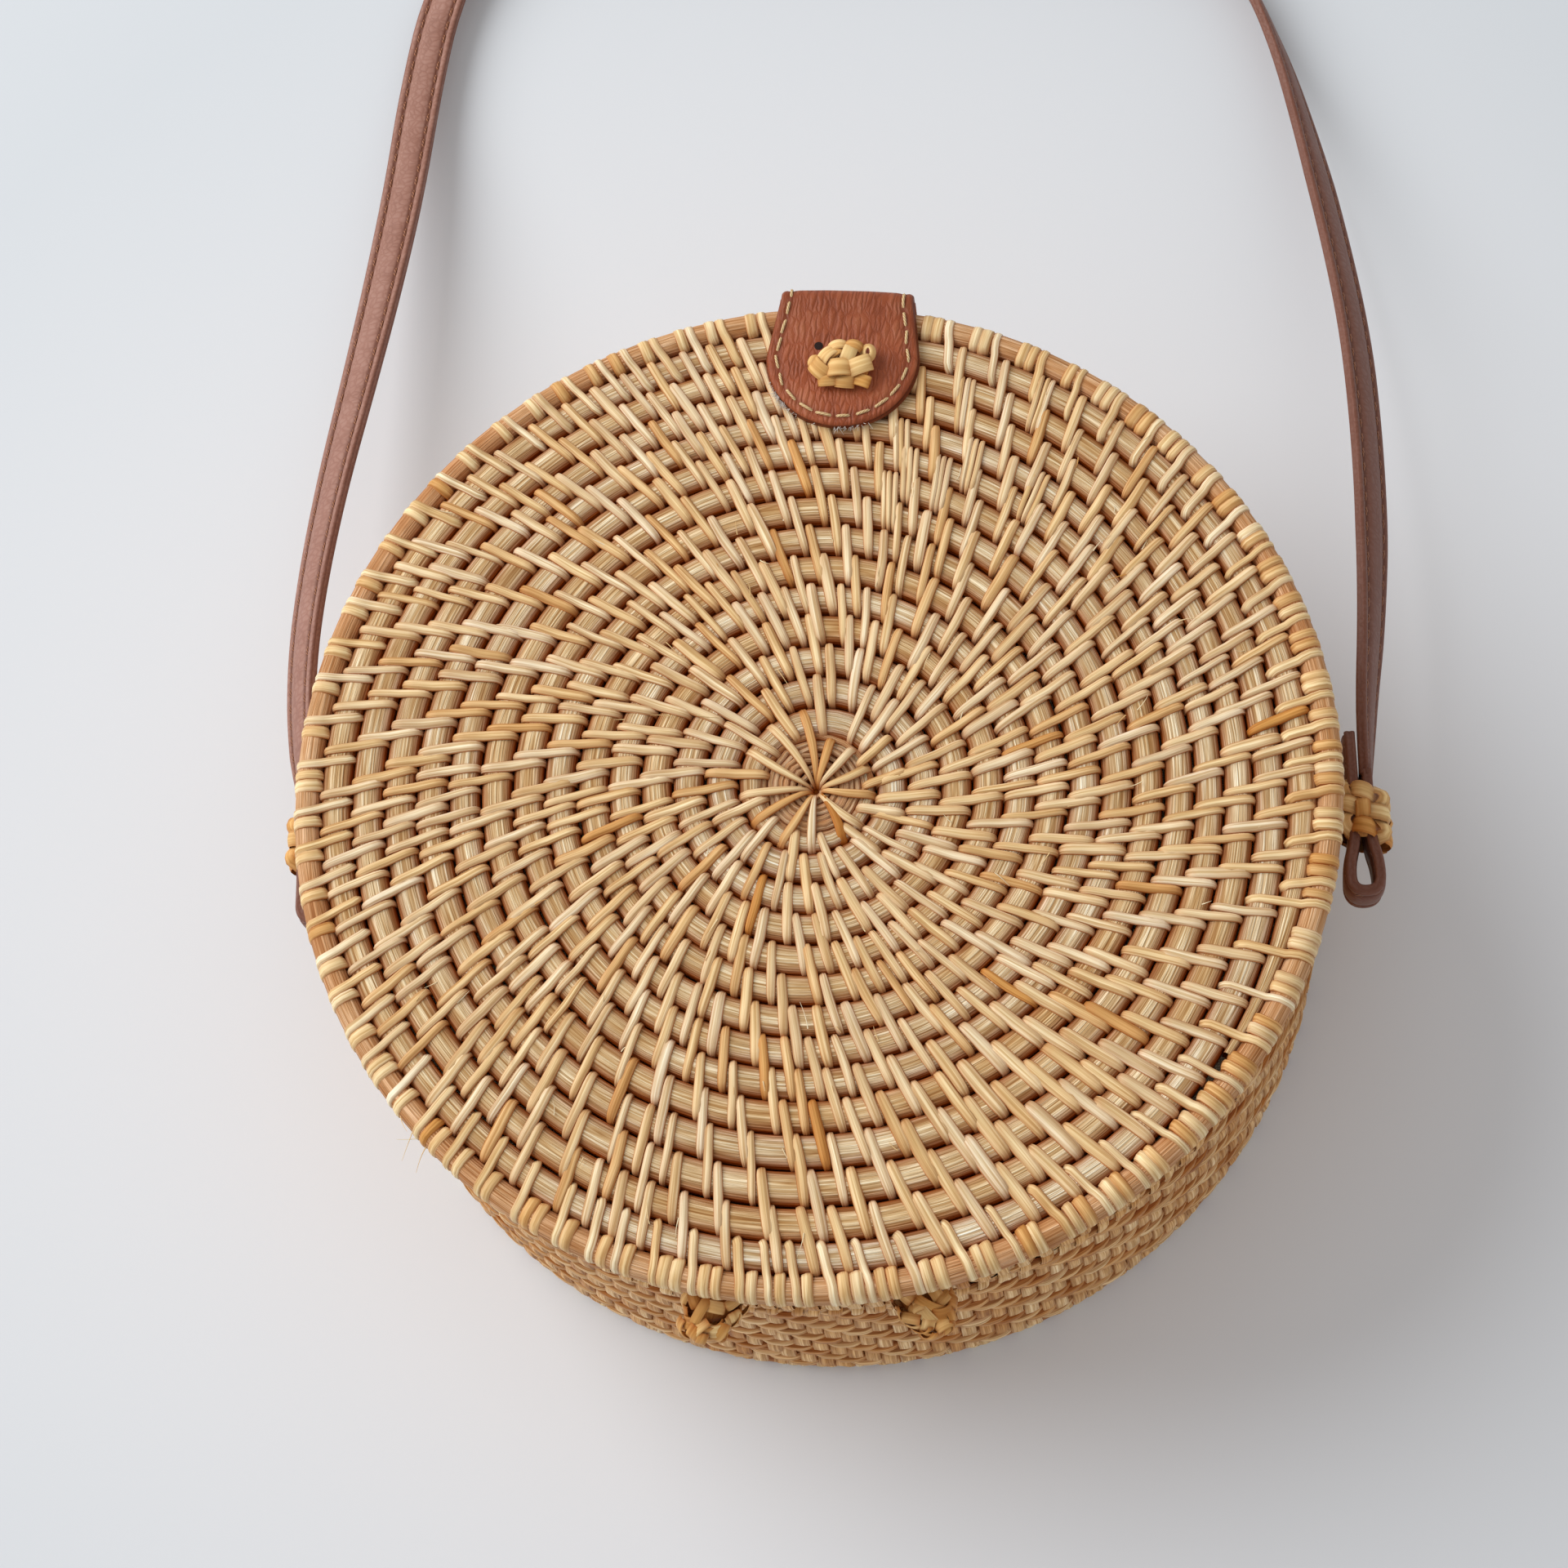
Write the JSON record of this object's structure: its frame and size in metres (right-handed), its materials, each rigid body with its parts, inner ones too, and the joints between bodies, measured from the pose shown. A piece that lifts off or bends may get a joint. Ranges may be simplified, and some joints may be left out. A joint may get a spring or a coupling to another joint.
{
  "type": "circle bag",
  "caption": "Round coiled-rattan shoulder bag with a hinged lid, a snap-down leather tab and a long flat leather strap.",
  "frame": {"origin": "on the table under the middle of the back disc, with the bag lying on its back", "axes": "+Z along the disc axis from the back to the lid, +Y from the hinge to the leather tab, +X to the right seen from the front"},
  "size_m": [0.2272, 0.452, 0.0867],
  "materials": {
    "coil_rattan": "natural half-round rattan rod, bound with split strip",
    "wall_rattan": "twill plaited flat rattan strip",
    "knot_rattan": "plaited rattan strip",
    "tab_leather": "pebbled leather, cream saddle stitch",
    "strap_leather": "folded leather, stitched along both edges",
    "lining_cotton": "plain woven cotton",
    "snap_metal": "antique brass"
  },
  "bodies": {
    "body": {"back_coil": "coil_rattan", "back_rim": "coil_rattan", "body_wall": "wall_rattan", "body_mouth_hoop": "coil_rattan", "body_lining_disc": "lining_cotton", "body_lining_band": "lining_cotton", "snap_stud": "snap_metal", "hinge_tie_left": "knot_rattan", "hinge_tie_right": "knot_rattan", "strap_end_left": "strap_leather", "strap_end_right": "strap_leather", "strap_knot_left": "knot_rattan", "strap_knot_right": "knot_rattan", "strap_left": "strap_leather", "strap_right": "strap_leather", "strap_coil": "strap_leather", "strap_tie": "strap_leather"},
    "lid": {"lid_coil": "coil_rattan", "lid_rim": "coil_rattan", "lid_wall": "wall_rattan", "lid_mouth_hoop": "coil_rattan", "lid_lining_disc": "lining_cotton", "lid_lining_band": "lining_cotton", "tab_top": "tab_leather", "tab_fold": "tab_leather", "tab_knot": "knot_rattan", "hinge_knot_left": "knot_rattan", "hinge_knot_right": "knot_rattan"},
    "flap": {"tab_flap": "tab_leather", "snap_cap": "snap_metal", "snap_socket": "snap_metal"}
  },
  "joints": [
    {"name": "lid_hinge", "type": "hinge", "parent": "body", "child": "lid", "pos_m": [0, -0.0972, 0.058], "axis": [1, 0, 0], "range_deg": [0, 100]},
    {"name": "flap_fold", "type": "hinge", "parent": "lid", "child": "flap", "pos_m": [0.00761, 0.09891, 0.079], "axis": [0.9971, -0.0767, 0], "range_deg": [0, 120], "deforming": ["tab_fold"]}
  ]
}
